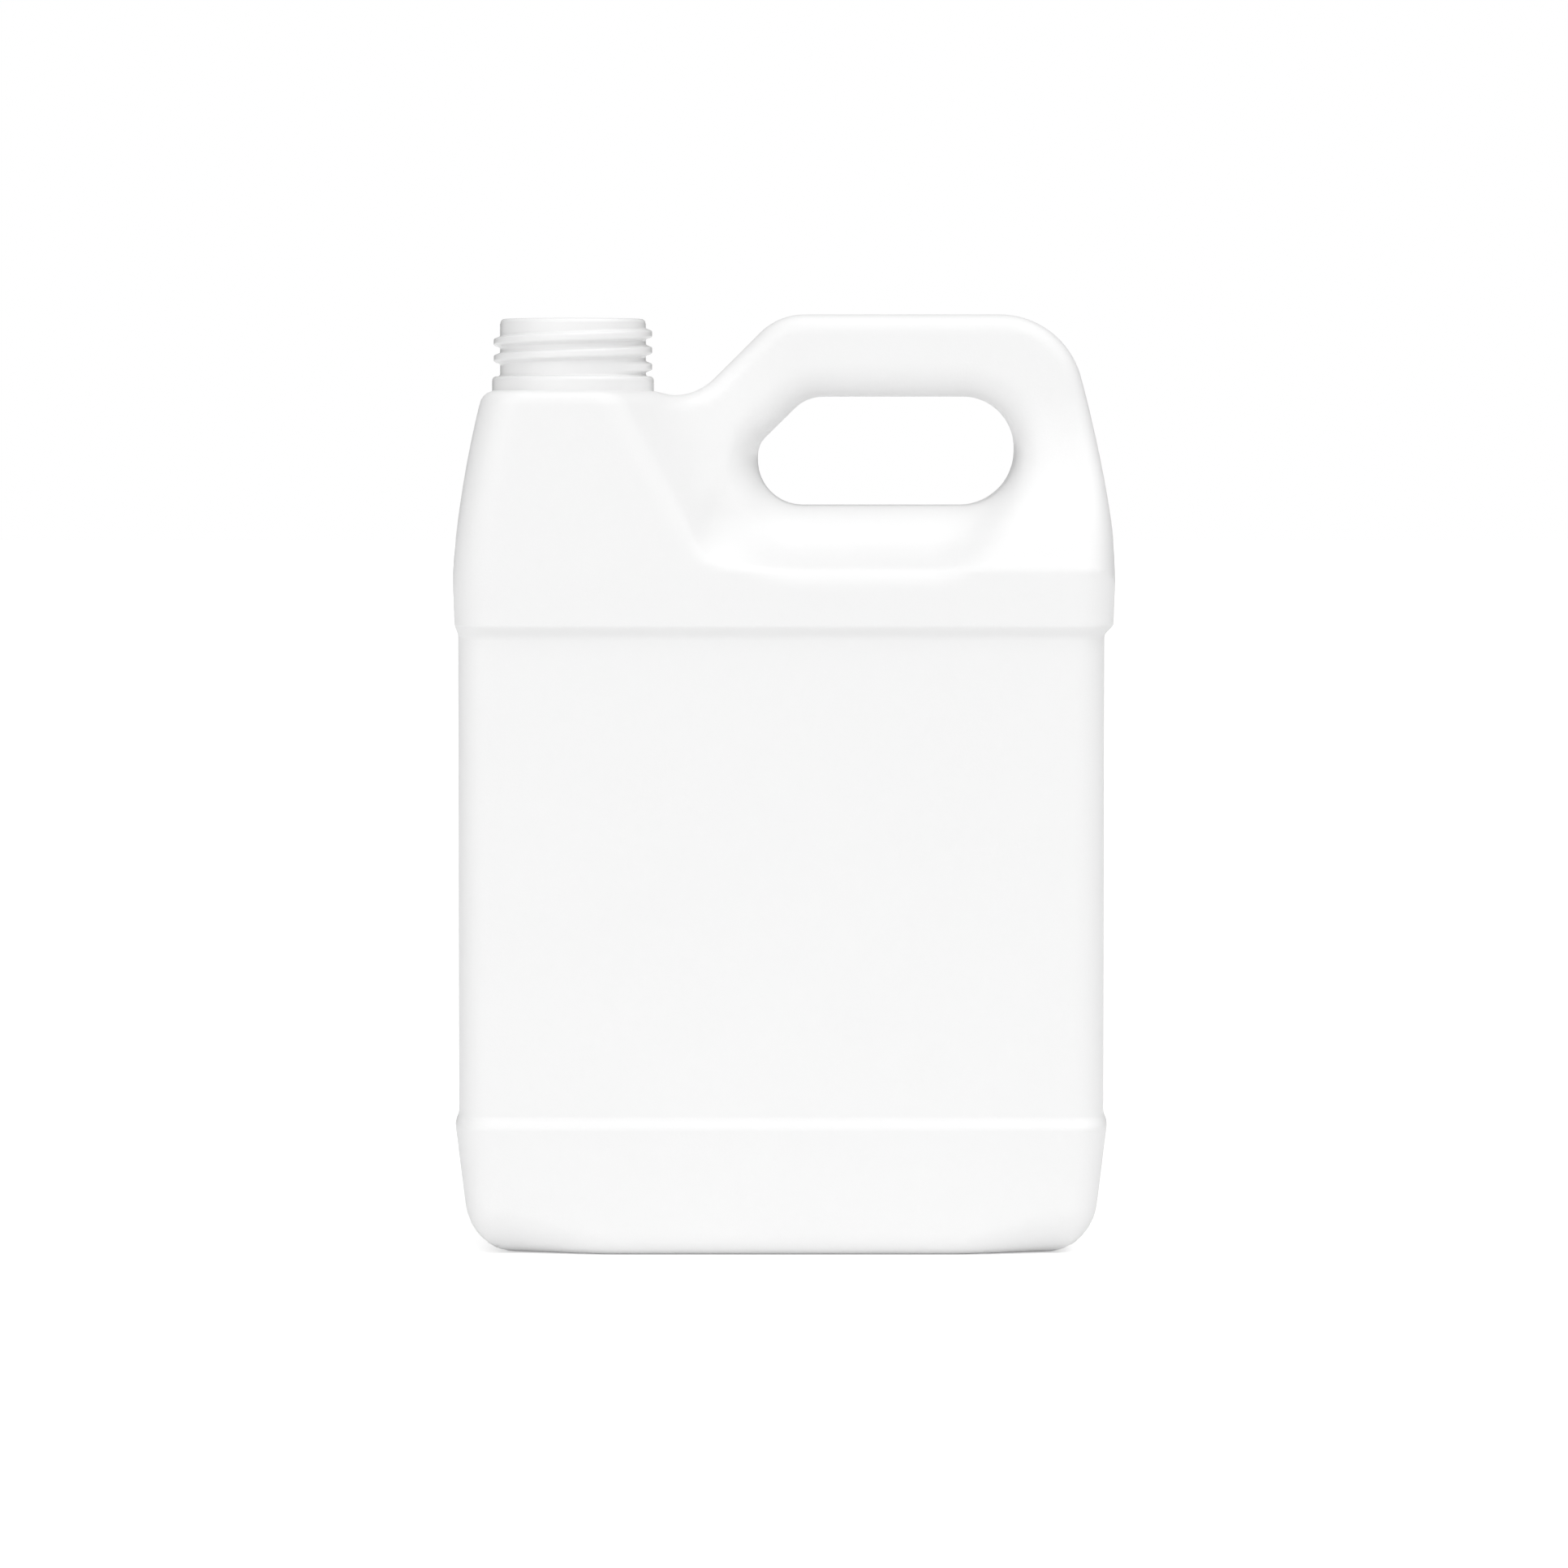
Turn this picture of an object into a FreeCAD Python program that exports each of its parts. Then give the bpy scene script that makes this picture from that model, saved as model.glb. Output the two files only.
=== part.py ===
"""A blow-moulded F-style jug: a flat-sided body, a screw neck at one side of the shoulder and a hollow
loop handle at the other. One hollow solid, open at the mouth, with no cap.

Millimetres. X runs along the wide face, Y through the depth and Z up. The origin is on the standing
plane, under the middle of the body. The form is symmetrical about the parting plane, Y = 0.
"""

import FreeCAD, Part
import math
import os

# Overall sizes
BODY_WIDTH = 155.0
BODY_DEPTH = 82.0
HEIGHT = 220.0
WALL = 0.9
CORNER_RADIUS = 12.5

# Levels of the upper part, measured down from the top of the handle, so that a taller jug
# gets a taller label panel
SHOULDER_DROP = 18.0
BLOCK_EDGE_DROP = 41.0
ROOF_START_DROP = 60.0
WALL_CURVE_DROP = 65.0
BAND_DROP = 70.0
PANEL_TOP_DROP = 74.0

# Base band, label panel and shoulder band, as insets from the full size
BASE_EDGE_RADIUS = 8.0
BASE_EDGE_INSET = 3.4
BASE_BAND_INSET = 1.3
BASE_TAPER_HEIGHT = 24.0
BASE_TAPER_RADIUS = 20.0
BASE_STEP_HEIGHT = 32.2
PANEL_INSET = 2.5
STEP_RISE = 3.0
STEP_RADIUS = 1.6

# Recess under the base, so that the jug stands on a rim
PUSH_UP_MARGIN = 17.0
PUSH_UP_RISE = 2.6
PUSH_UP_RUN = 6.0
PUSH_UP_CORNER = 10.0

# Curved end walls, from the shoulder band to the top
WALL_BLEND_RADIUS = 88.0
WALL_BLEND_TILT = 0.096
WALL_CURVE_RADIUS = 245.0

# Full-depth block that carries the neck, with its slope down to the handle
BLOCK_EDGE_INSET = 49.3
BLOCK_EDGE_LEAN = 0.545
BLOCK_SLOPE_RUN = 24.0
BLOCK_EDGE_RADIUS = 9.0
BLOCK_TOP_RADIUS = 3.0
BLOCK_END_X = 4.0

# Sloping roof of the body under the handle
ROOF_RISE = 21.0
ROOF_EDGE_RADIUS = 6.0

# Handle loop
HANDLE_DEPTH = 30.0
HANDLE_CORNER_RADIUS = 18.0
HANDLE_SHOULDER_RADIUS = 15.0
HANDLE_OUTER_EDGE = 4.4
HANDLE_INNER_EDGE = 7.5
DIP_INSET = 52.9
DIP_DROP = 1.1
DIP_RADIUS = 13.0

# Opening for the hand
GRIP_INSET = 71.2
HANDLE_LEG = 22.7
GRIP_HEIGHT = 26.2
HANDLE_BAR = 19.2
GRIP_SLANT_FOOT = 13.0
GRIP_SLANT_RUN = 12.1
GRIP_LOWER_RADIUS = 10.6
GRIP_SIDE_RADIUS = 6.0
GRIP_UPPER_RADIUS = 9.6
GRIP_END_RADIUS = 13.0

# Hollow around the lower side of the opening, for the fingers
SCOOP_WIDTH = 8.6
SCOOP_FLARE = 5.2

# Neck with its thread
NECK_INSET = 27.6
NECK_HEIGHT = 17.0
NECK_ROOT_DIAMETER = 34.9
NECK_WALL = 2.45
NECK_FOOT_RADIUS = 0.6
RIM_RADIUS = 1.0
BEAD_RISE = 2.05
BEAD_HEIGHT = 3.2
BEAD_EDGE_RADIUS = 1.0
THREAD_RISE = 1.3
THREAD_PITCH = 3.8
THREAD_TURNS = 2.4
THREAD_START_HEIGHT = 5.4
THREAD_START_ANGLE = -60.0
THREAD_ROOT_WIDTH = 2.6
THREAD_CREST_WIDTH = 0.9
THREAD_RUN_OUT = 50.0
THREAD_STEP = 12.0
THREAD_SINK = 0.3

# Sizes that follow from the ones above
HALF_WIDTH = BODY_WIDTH / 2
HALF_DEPTH = BODY_DEPTH / 2
HANDLE_HALF = HANDLE_DEPTH / 2
SHOULDER_HEIGHT = HEIGHT - SHOULDER_DROP
BLOCK_EDGE_HEIGHT = HEIGHT - BLOCK_EDGE_DROP
ROOF_START_HEIGHT = HEIGHT - ROOF_START_DROP
WALL_CURVE_START = HEIGHT - WALL_CURVE_DROP
BAND_HEIGHT = HEIGHT - BAND_DROP
PANEL_TOP_HEIGHT = HEIGHT - PANEL_TOP_DROP
GRIP_TOP = HEIGHT - HANDLE_BAR
GRIP_BOTTOM = GRIP_TOP - GRIP_HEIGHT
NECK_X = NECK_INSET - HALF_WIDTH
BLOCK_EDGE_X = BLOCK_EDGE_INSET - HALF_WIDTH
DIP_X = DIP_INSET - HALF_WIDTH
GRIP_LEFT = GRIP_INSET - HALF_WIDTH
GRIP_RIGHT = HALF_WIDTH - HANDLE_LEG
NECK_ROOT = NECK_ROOT_DIAMETER / 2
NECK_BORE = NECK_ROOT - NECK_WALL

# Lengths that only have to be long or short enough
LAP = 1.0
FAR = 3 * (BODY_WIDTH + HEIGHT)
TINY = 0.01
UP = FreeCAD.Vector(0, 0, 1)
DEPTH = FreeCAD.Vector(0, 1, 0)


def point(x, y, z):
    return FreeCAD.Vector(x, y, z)


def unit(vector):
    return FreeCAD.Vector(vector).normalize()


def rounded_edges(corners, radii, closed=True):
    """Lines between the corners, with a tangent arc of the given radius at each (0 keeps it sharp)."""
    count = len(corners)
    starts = []
    ends = []
    arcs = []
    for index, corner in enumerate(corners):
        radius = radii[index]
        at_end = not closed and index in (0, count - 1)
        if radius == 0 or at_end:
            starts.append(corner)
            ends.append(corner)
            arcs.append(None)
            continue
        before = unit(corners[index - 1] - corner)
        after = unit(corners[(index + 1) % count] - corner)
        half_angle = before.getAngle(after) / 2
        reach = radius / math.tan(half_angle)
        to_arc = radius / math.sin(half_angle) - radius
        starts.append(corner + before * reach)
        ends.append(corner + after * reach)
        arcs.append(corner + unit(before + after) * to_arc)
    edges = []
    for index in range(count):
        if arcs[index]:
            edges.append(Part.Arc(starts[index], arcs[index], ends[index]).toShape())
        if closed or index < count - 1:
            following = starts[(index + 1) % count]
            edges.append(Part.LineSegment(ends[index], following).toShape())
    return edges


def rounded_rectangle(half_x, half_y, radius, z):
    corners = [
        point(-half_x, -half_y, z),
        point(half_x, -half_y, z),
        point(half_x, half_y, z),
        point(-half_x, half_y, z),
    ]
    return Part.Wire(rounded_edges(corners, [radius] * len(corners)))


def closed_solid(faces):
    shell = Part.makeShell(faces)
    shell.sewShape()
    return Part.makeSolid(shell)


def lower_body(inset):
    """Base band, label panel and shoulder band: one side profile carried round the rounded body."""
    foot = BASE_EDGE_INSET + BASE_EDGE_RADIUS
    step = STEP_RISE / 2
    profile = [
        (foot, inset, 0),
        (BASE_EDGE_INSET, inset, BASE_EDGE_RADIUS - inset),
        (BASE_BAND_INSET, BASE_TAPER_HEIGHT, BASE_TAPER_RADIUS),
        (BASE_BAND_INSET, BASE_STEP_HEIGHT - step, STEP_RADIUS),
        (PANEL_INSET, BASE_STEP_HEIGHT + step, STEP_RADIUS),
        (PANEL_INSET, PANEL_TOP_HEIGHT - step, STEP_RADIUS),
        (0, PANEL_TOP_HEIGHT + step, STEP_RADIUS),
        (0, BAND_HEIGHT, 0),
    ]
    corners = [point(HALF_WIDTH - across - inset, 0, z) for across, z, radius in profile]
    radii = [radius for across, z, radius in profile]
    corners[0].x += inset
    side = Part.Wire(rounded_edges(corners, radii, closed=False))
    spine_corners = [
        point(HALF_WIDTH, 0, 0),
        point(HALF_WIDTH, HALF_DEPTH, 0),
        point(-HALF_WIDTH, HALF_DEPTH, 0),
        point(-HALF_WIDTH, -HALF_DEPTH, 0),
        point(HALF_WIDTH, -HALF_DEPTH, 0),
        point(HALF_WIDTH, 0, 0),
    ]
    spine = Part.Wire(rounded_edges(spine_corners, [CORNER_RADIUS] * len(spine_corners), closed=False))
    skin = spine.makePipeShell([side], False, False)
    top = rounded_rectangle(HALF_WIDTH - inset, HALF_DEPTH - inset, CORNER_RADIUS - inset, BAND_HEIGHT)
    bottom = rounded_rectangle(HALF_WIDTH - foot, HALF_DEPTH - foot, CORNER_RADIUS - foot, inset)
    return closed_solid(skin.Faces + [Part.Face(top), Part.Face(bottom)])


def end_wall_centre():
    """The centre of the end wall's large arc, on the +X side."""
    gap = WALL_CURVE_RADIUS - WALL_BLEND_RADIUS
    blend_x = HALF_WIDTH - WALL_BLEND_RADIUS
    x = blend_x - gap * math.cos(WALL_BLEND_TILT)
    return point(x, 0, WALL_CURVE_START - gap * math.sin(WALL_BLEND_TILT))


def end_wall(inset, top, side):
    """The edges of one end wall, from the shoulder band up, as a line and two arcs that lean inwards."""
    blend_centre = point(HALF_WIDTH - WALL_BLEND_RADIUS, 0, WALL_CURVE_START)
    curve_centre = end_wall_centre()
    blend_radius = WALL_BLEND_RADIUS - inset
    curve_radius = WALL_CURVE_RADIUS - inset

    def spot(centre, radius, tilt):
        return point(side * (centre.x + radius * math.cos(tilt)), 0, centre.z + radius * math.sin(tilt))

    top_tilt = math.asin((top - curve_centre.z) / curve_radius)
    foot = point(side * (HALF_WIDTH - inset), 0, BAND_HEIGHT - LAP)
    blend = [spot(blend_centre, blend_radius, WALL_BLEND_TILT * share) for share in (0, 0.5, 1)]
    tilts = [WALL_BLEND_TILT, (WALL_BLEND_TILT + top_tilt) / 2, top_tilt]
    curve = [spot(curve_centre, curve_radius, tilt) for tilt in tilts]
    upright = Part.LineSegment(foot, blend[0])
    return [upright.toShape(), Part.Arc(*blend).toShape(), Part.Arc(*curve).toShape()], foot, curve[-1]


def dip_middle():
    """The centre of the hollow in the shoulder line between the neck and the handle."""
    return point(DIP_X, 0, SHOULDER_HEIGHT - DIP_DROP + DIP_RADIUS)


def beyond_plane(origin, normal):
    """Everything on the far side of a plane, as a large solid."""
    disc = Part.Face(Part.Wire(Part.makeCircle(FAR, origin, normal)))
    return disc.extrude(unit(normal) * FAR)


def prism_in_depth(edges, half_depth):
    """The outline in the XZ plane, drawn out to the same depth on both sides of the parting plane."""
    face = Part.Face(Part.Wire(Part.__sortEdges__(edges)))
    face.translate(DEPTH * -half_depth)
    return face.extrude(DEPTH * 2 * half_depth)


def block_slope_normal():
    """The outward direction of the slope between the neck block and the handle, on the +Y side."""
    drop = HALF_DEPTH - HANDLE_HALF
    return unit(point(drop, BLOCK_SLOPE_RUN, drop * BLOCK_EDGE_LEAN))


def flat_edges_at(shape, half_depth):
    """The edges that lie in the flat front or back of a shape, apart from level ones."""
    found = []
    for edge in shape.Edges:
        box = edge.BoundBox
        in_face = box.YLength < TINY and abs(abs(box.YMin) - half_depth) < TINY
        if in_face and box.ZLength > TINY:
            found.append(edge)
    return found


def level_edges_at(shape, height):
    found = []
    for edge in shape.Edges:
        box = edge.BoundBox
        if box.ZLength < TINY and abs(box.ZMin - height) < TINY:
            found.append(edge)
    return found


def neck_block(inset):
    """The full-depth part under the neck, which slopes down towards the handle on its inner side."""
    top = SHOULDER_HEIGHT - inset
    half = HALF_DEPTH - inset
    end = BLOCK_END_X - inset
    wall, foot, head = end_wall(inset, top, -1)
    corners = [head, point(end, 0, top), point(end, 0, BAND_HEIGHT - LAP), foot]
    outline = wall + rounded_edges(corners, [0] * len(corners), closed=False)
    block = prism_in_depth(outline, half)
    slope = block_slope_normal()
    for side in (-1, 1):
        normal = point(slope.x, side * slope.y, slope.z)
        origin = point(BLOCK_EDGE_X, side * HALF_DEPTH, BLOCK_EDGE_HEIGHT) - normal * inset
        block = block.cut(beyond_plane(origin, normal))
    outer = [edge for edge in flat_edges_at(block, half) if edge.BoundBox.XMax < head.x + TINY]
    block = block.makeFillet(CORNER_RADIUS - inset, outer)
    inner = [edge for edge in flat_edges_at(block, half) if edge.BoundBox.XMax > NECK_X]
    block = block.makeFillet(BLOCK_EDGE_RADIUS - inset, inner)
    rim = [edge for edge in level_edges_at(block, top) if edge.BoundBox.XMax < end - TINY]
    block = block.makeFillet(BLOCK_TOP_RADIUS - inset, rim)
    dip_end = dip_middle() - DEPTH * BODY_DEPTH
    return block.cut(Part.makeCylinder(DIP_RADIUS + inset, 2 * BODY_DEPTH, dip_end, DEPTH))


def edges_in_plane(shape, origin, normal):
    """The edges of a shape that lie in a plane."""
    found = []
    for edge in shape.Edges:
        spots = [edge.valueAt(value) for value in (edge.FirstParameter, edge.LastParameter)]
        spots.append(edge.valueAt((edge.FirstParameter + edge.LastParameter) / 2))
        if all(abs((spot - origin).dot(normal)) < TINY for spot in spots):
            found.append(edge)
    return found


def roof(inset):
    """The top of the body under the handle, which slopes in from the full depth to the handle's depth."""
    half = HALF_DEPTH - inset
    top = ROOF_START_HEIGHT + ROOF_RISE - inset
    inner_x = NECK_X
    wall, foot, head = end_wall(inset, top, 1)
    corners = [head, point(inner_x, 0, top), point(inner_x, 0, BAND_HEIGHT - LAP), foot]
    outline = wall + rounded_edges(corners, [0] * len(corners), closed=False)
    body = prism_in_depth(outline, half)
    outer = [edge for edge in flat_edges_at(body, half) if edge.BoundBox.XMin > inner_x + TINY]
    body = body.makeFillet(CORNER_RADIUS - inset, outer)
    for side in (-1, 1):
        normal = unit(point(0, side * ROOF_RISE, HALF_DEPTH - HANDLE_HALF))
        origin = point(0, side * HALF_DEPTH, ROOF_START_HEIGHT) - normal * inset
        body = body.cut(beyond_plane(origin, normal))
        edges = []
        for edge in edges_in_plane(body, origin, normal):
            box = edge.BoundBox
            if box.XMax > inner_x + TINY and box.ZMin < top - TINY:
                edges.append(edge)
        body = body.makeFillet(ROOF_EDGE_RADIUS - inset, edges)
    return body


def offset_corners(corners, growth):
    """The corners of a convex outline in the XZ plane, with each side moved outwards by the growth."""
    count = len(corners)
    middle = sum(corners, point(0, 0, 0)) * (1 / count)
    normals = []
    for index, corner in enumerate(corners):
        along = unit(corners[(index + 1) % count] - corner)
        normal = point(along.z, 0, -along.x)
        if normal.dot(corner - middle) < 0:
            normal = normal * -1
        normals.append(normal)
    moved = []
    for index, corner in enumerate(corners):
        first = normals[index - 1]
        second = normals[index]
        moved.append(corner + (first + second) * (growth / (1 + first.dot(second))))
    return moved


def grip_outline(growth, y, right=GRIP_RIGHT):
    """The rounded outline of the hand opening, grown outwards, at depth y."""
    corners = [
        point(GRIP_LEFT, y, GRIP_BOTTOM),
        point(GRIP_LEFT, y, GRIP_BOTTOM + GRIP_SLANT_FOOT),
        point(GRIP_LEFT + GRIP_SLANT_RUN, y, GRIP_TOP),
        point(right, y, GRIP_TOP),
        point(right, y, GRIP_BOTTOM),
    ]
    radii = [GRIP_LOWER_RADIUS, GRIP_SIDE_RADIUS, GRIP_UPPER_RADIUS, GRIP_END_RADIUS, GRIP_END_RADIUS]
    grown = [radius + growth for radius in radii]
    return Part.Wire(rounded_edges(offset_corners(corners, growth), grown))


def scoop(inset):
    """What the finger hollow takes away: straight through at the handle's depth, then flaring out
    towards the neck and downwards, but not towards the outer leg of the handle."""
    floor = HANDLE_HALF - inset
    width = SCOOP_WIDTH + inset
    flare_end = HALF_DEPTH + HANDLE_HALF
    flare = SCOOP_FLARE * (flare_end - floor) / (HALF_DEPTH - HANDLE_HALF)
    tool = Part.Face(grip_outline(width, -floor)).extrude(DEPTH * 2 * floor)
    for side in (-1, 1):
        near = grip_outline(width, side * floor)
        far = grip_outline(width + flare, side * flare_end, GRIP_RIGHT - flare)
        tool = tool.fuse(Part.makeLoft([near, far], True, True))
    return tool


def arc_about(centre, radius, start, end):
    """An arc in the XZ plane about a centre, between two angles in degrees."""
    spots = []
    for angle in (start, (start + end) / 2, end):
        turn = math.radians(angle)
        spots.append(centre + point(radius * math.cos(turn), 0, radius * math.sin(turn)))
    return Part.Arc(*spots).toShape(), spots[0], spots[2]


def handle(inset):
    """The flat loop of the handle with its opening; its lower and inner sides lie inside the body."""
    half = HANDLE_HALF - inset
    curve_centre = end_wall_centre()
    corner_z = HEIGHT - HANDLE_CORNER_RADIUS
    centre_gap = WALL_CURVE_RADIUS - HANDLE_CORNER_RADIUS
    corner_tilt = math.asin((corner_z - curve_centre.z) / centre_gap)
    corner_centre = curve_centre + point(centre_gap * math.cos(corner_tilt), 0, corner_z - curve_centre.z)
    wall_top = curve_centre.z + (WALL_CURVE_RADIUS - inset) * math.sin(corner_tilt)
    wall, foot, head = end_wall(inset, wall_top, 1)
    dip_centre = dip_middle()
    across = (HANDLE_SHOULDER_RADIUS + DIP_RADIUS) * math.sqrt(2)
    shoulder_z = HEIGHT - HANDLE_SHOULDER_RADIUS
    shoulder_x = dip_centre.x + shoulder_z - dip_centre.z + across
    shoulder_centre = point(shoulder_x, 0, shoulder_z)
    corner_start = math.degrees(corner_tilt)
    corner, start, corner_end = arc_about(corner_centre, HANDLE_CORNER_RADIUS - inset, corner_start, 90)
    bend, bend_start, bend_end = arc_about(shoulder_centre, HANDLE_SHOULDER_RADIUS - inset, 90, 135)
    dip, dip_start, dip_end = arc_about(dip_centre, DIP_RADIUS + inset, -45, -90)
    inner_foot = point(dip_end.x, 0, BAND_HEIGHT - LAP)
    edges = wall + [
        corner,
        Part.LineSegment(corner_end, bend_start).toShape(),
        bend,
        Part.LineSegment(bend_end, dip_start).toShape(),
        dip,
        Part.LineSegment(dip_end, inner_foot).toShape(),
        Part.LineSegment(inner_foot, foot).toShape(),
    ]
    plate = prism_in_depth(edges, half)
    outer = []
    for edge in plate.Edges:
        box = edge.BoundBox
        in_face = box.YLength < TINY
        if in_face and box.ZMax > BAND_HEIGHT + TINY and box.XMax > dip_end.x + TINY:
            outer.append(edge)
    plate = plate.makeFillet(HANDLE_OUTER_EDGE - inset, outer)
    plate = plate.cut(Part.Face(grip_outline(inset, -HALF_DEPTH)).extrude(DEPTH * BODY_DEPTH))
    grip = grip_outline(inset + TINY, 0).BoundBox
    inner = []
    for edge in plate.Edges:
        box = edge.BoundBox
        in_face = box.YLength < TINY and abs(abs(box.YMin) - half) < TINY
        in_width = box.XMin > grip.XMin - TINY and box.XMax < grip.XMax + TINY
        if in_face and in_width and box.ZMin > grip.ZMin - TINY and box.ZMax < grip.ZMax + TINY:
            inner.append(edge)
    return plate.makeFillet(HANDLE_INNER_EDGE - inset, inner)


def form(inset):
    """The whole body and handle, without the neck, set in from the outer surface by the inset."""
    body = lower_body(inset).fuse([neck_block(inset), roof(inset)])
    return body.cut(scoop(inset)).fuse(handle(inset)).removeSplitter()


def push_up():
    """The recess under the base, as the space it takes from below, and its inner twin one wall larger."""
    half_x = HALF_WIDTH - PUSH_UP_MARGIN
    half_y = HALF_DEPTH - PUSH_UP_MARGIN
    solids = []
    for growth in (0, WALL):
        low = rounded_rectangle(half_x + growth, half_y + growth, PUSH_UP_CORNER + growth, -growth)
        run = PUSH_UP_RUN
        top = PUSH_UP_RISE + growth
        inner_x = half_x + growth - run
        inner_y = half_y + growth - run
        high = rounded_rectangle(inner_x, inner_y, PUSH_UP_CORNER + growth - run, top)
        solids.append(Part.makeLoft([low, high], True, True))
    return solids


def neck():
    """The plain neck, with its bead at the foot and rounded rim, as a solid of revolution."""
    bead = NECK_ROOT + BEAD_RISE
    rim = SHOULDER_HEIGHT + NECK_HEIGHT
    bead_top = SHOULDER_HEIGHT + BEAD_HEIGHT
    corners = [
        point(NECK_BORE, 0, SHOULDER_HEIGHT - WALL),
        point(NECK_BORE, 0, rim),
        point(NECK_ROOT, 0, rim),
        point(NECK_ROOT, 0, bead_top),
        point(bead, 0, bead_top),
        point(bead, 0, SHOULDER_HEIGHT - WALL),
    ]
    radii = [0, RIM_RADIUS / 2, RIM_RADIUS, NECK_FOOT_RADIUS, BEAD_EDGE_RADIUS, 0]
    tube = Part.Face(Part.Wire(rounded_edges(corners, radii))).revolve(point(0, 0, 0), UP, 360)
    tube.translate(point(NECK_X, 0, 0))
    return tube


def thread():
    """One helical ridge that rises from nothing, keeps its height and sinks away at its end."""
    buried = NECK_ROOT - THREAD_SINK
    total = THREAD_TURNS * 360
    steps = round(total / THREAD_STEP)
    sections = []
    for step in range(steps + 1):
        angle = total * step / steps
        to_end = min(angle, total - angle)
        share = min(1.0, to_end / THREAD_RUN_OUT)
        height = math.sin(math.pi / 2 * share)
        crest = buried + (THREAD_SINK + THREAD_RISE) * height
        middle = SHOULDER_HEIGHT + THREAD_START_HEIGHT + THREAD_PITCH * angle / 360
        half_root = THREAD_ROOT_WIDTH / 2
        half_crest = THREAD_CREST_WIDTH / 2
        corners = [
            point(buried - THREAD_SINK, 0, middle - half_root),
            point(crest, 0, middle - half_crest),
            point(crest, 0, middle + half_crest),
            point(buried - THREAD_SINK, 0, middle + half_root),
        ]
        section = Part.makePolygon(corners + corners[:1])
        section.rotate(point(0, 0, 0), UP, THREAD_START_ANGLE + angle)
        section.translate(point(NECK_X, 0, 0))
        sections.append(section)
    return Part.makeLoft(sections, True, False)


def jug():
    """The outer form with its neck, less the same form one wall further in, and less the bore."""
    outside = form(0)
    inside = form(WALL)
    recess, recess_inside = push_up()
    outside = outside.cut(recess)
    inside = inside.cut(recess_inside)
    bore_foot = point(NECK_X, 0, SHOULDER_HEIGHT - NECK_HEIGHT)
    bore = Part.makeCylinder(NECK_BORE, 2 * NECK_HEIGHT, bore_foot, UP)
    return outside.fuse([neck(), thread()]).cut(inside).cut(bore).removeSplitter()


if __name__ == "__main__":
    os.makedirs("parts", exist_ok=True)
    jug().exportStep("parts/jug.step")
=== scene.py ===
"""A blow-moulded F-style jug: satin white body, threaded neck and a plain pale stage.

Lengths are in metres. X runs along the wide face, Y through the depth and Z up.
"""

import math

import bpy
import numpy as np
from bpy.props import FloatProperty, PointerProperty, StringProperty
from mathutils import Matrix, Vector


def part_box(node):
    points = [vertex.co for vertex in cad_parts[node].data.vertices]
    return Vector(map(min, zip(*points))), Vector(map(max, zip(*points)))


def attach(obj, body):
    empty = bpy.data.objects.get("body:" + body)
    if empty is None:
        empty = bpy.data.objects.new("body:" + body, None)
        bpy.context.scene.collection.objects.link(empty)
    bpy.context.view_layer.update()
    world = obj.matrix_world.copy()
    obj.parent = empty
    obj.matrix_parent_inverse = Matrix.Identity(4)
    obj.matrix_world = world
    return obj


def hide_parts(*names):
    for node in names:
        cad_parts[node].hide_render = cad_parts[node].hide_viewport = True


bl_info = {
    "name": "F-style jug",
    "version": (1, 0, 0),
    "blender": (4, 5, 0),
    "location": "3D View > Sidebar > Jug",
    "description": "Builds a blow-moulded jug over its frame, with a pale stage",
    "category": "Object",
}

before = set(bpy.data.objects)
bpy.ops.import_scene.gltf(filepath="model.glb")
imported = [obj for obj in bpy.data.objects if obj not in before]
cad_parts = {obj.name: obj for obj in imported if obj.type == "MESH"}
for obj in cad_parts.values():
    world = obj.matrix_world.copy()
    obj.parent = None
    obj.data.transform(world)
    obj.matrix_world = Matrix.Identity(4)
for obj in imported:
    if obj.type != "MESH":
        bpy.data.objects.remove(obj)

MM = 0.001
NODE = "jug"
BOX_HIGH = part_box(NODE)[1]

# Overall sizes, from the frame
HALF_WIDTH = BOX_HIGH.x
HALF_DEPTH = BOX_HIGH.y
HEIGHT = BOX_HIGH.z

# Levels of the upper part, down from the top of the handle
SHOULDER_HEIGHT = HEIGHT - 18 * MM
BLOCK_EDGE_HEIGHT = HEIGHT - 41 * MM
ROOF_START_HEIGHT = HEIGHT - 59 * MM
WALL_CURVE_START = HEIGHT - 65 * MM
PANEL_TOP_HEIGHT = HEIGHT - 74 * MM

# Base band, label panel and shoulder band
BASE_EDGE_RADIUS = 11.5 * MM
BASE_FRONT_RADIUS = 4.5 * MM
BASE_EDGE_INSET = 3.5 * MM
FACE_TAPER_SHARE = 0.3
BASE_BAND_INSET = 1.1 * MM
BASE_TAPER_HEIGHT = 30 * MM
BASE_STEP_HEIGHT = 32.2 * MM
FACE_BASE_STEP_DROP = 1.2 * MM
FACE_PANEL_TOP_DROP = 0.3 * MM
STEP_RISE = 3.2 * MM
HALF_STEP = STEP_RISE / 2
FACE_PANEL_EXTRA = 0.6 * MM
BAND_FOOT_INSET = 0.4 * MM
LOWER_BODY_SHIFT = 0.65 * MM

# Finer mesh above and below each step, and beside the parting line in half widths of it
STEP_REACH = 3 * MM
STEP_SPACING = 0.6 * MM
PARTING_LINE_REACH = 7

# Recess under the base with its weld, and the heights between which the parting line rises
RECESS_MARGIN = 17 * MM
RECESS_RISE = 2.6 * MM
RECESS_RUN = 6 * MM
RECESS_CORNER = 10 * MM
WELD_WIDENING = 2
WELD_END = HALF_WIDTH - 24 * MM
WELD_FADE = 2 * MM
PARTING_LINE_START = 1 * MM
PARTING_LINE_FULL = 4 * MM

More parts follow.
